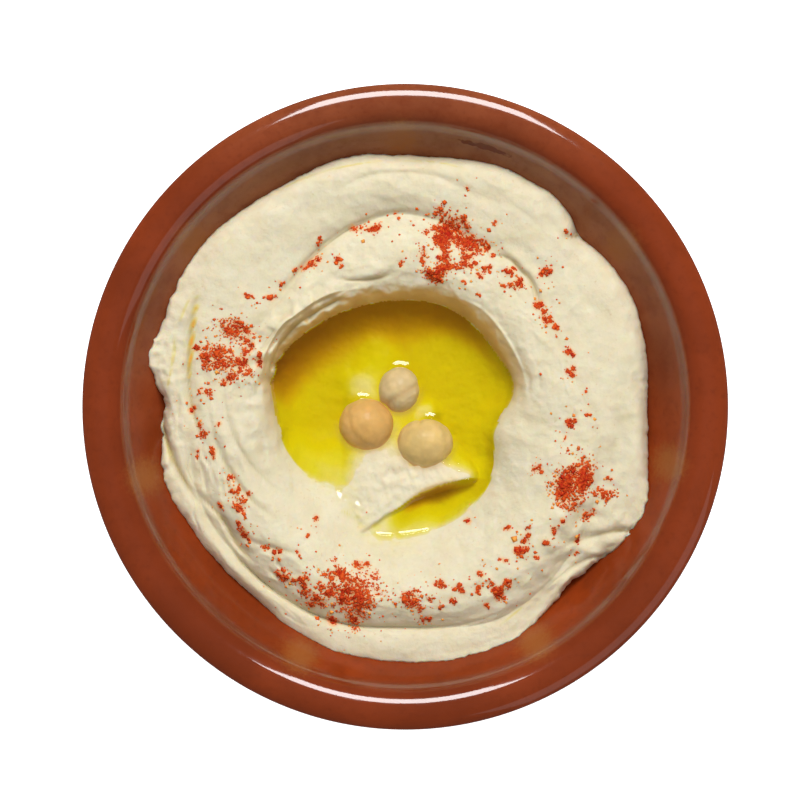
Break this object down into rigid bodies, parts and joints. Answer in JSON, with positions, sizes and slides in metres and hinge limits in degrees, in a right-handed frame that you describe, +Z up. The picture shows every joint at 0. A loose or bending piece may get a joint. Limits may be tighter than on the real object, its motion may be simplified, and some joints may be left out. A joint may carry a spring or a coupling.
{
  "type": "bowl of hummus",
  "caption": "Round glazed clay bowl of swirled hummus with a well of olive oil, chickpeas and a dusting of red spice.",
  "frame": {"origin": "centre of the bowl's flat base, on the surface it stands on", "axes": "+Z up along the bowl's axis; the well's tongue of hummus points towards +X and -Y"},
  "size_m": [0.14, 0.14, 0.038],
  "materials": {
    "glazed_clay": "clear glaze over red-brown clay, glossy, with pale golden dabs of slip inside",
    "hummus": "smooth thick paste, satin, pale cream",
    "olive_oil": "clear golden-green oil, wet gloss",
    "chickpea": "boiled chickpea skin, satin",
    "paprika": "dry red ground spice, matte"
  },
  "bodies": {
    "root": {"bowl": "glazed_clay", "hummus": "hummus", "oil": "olive_oil", "chickpea_left": "chickpea", "chickpea_top": "chickpea", "chickpea_right": "chickpea"}
  },
  "joints": []
}
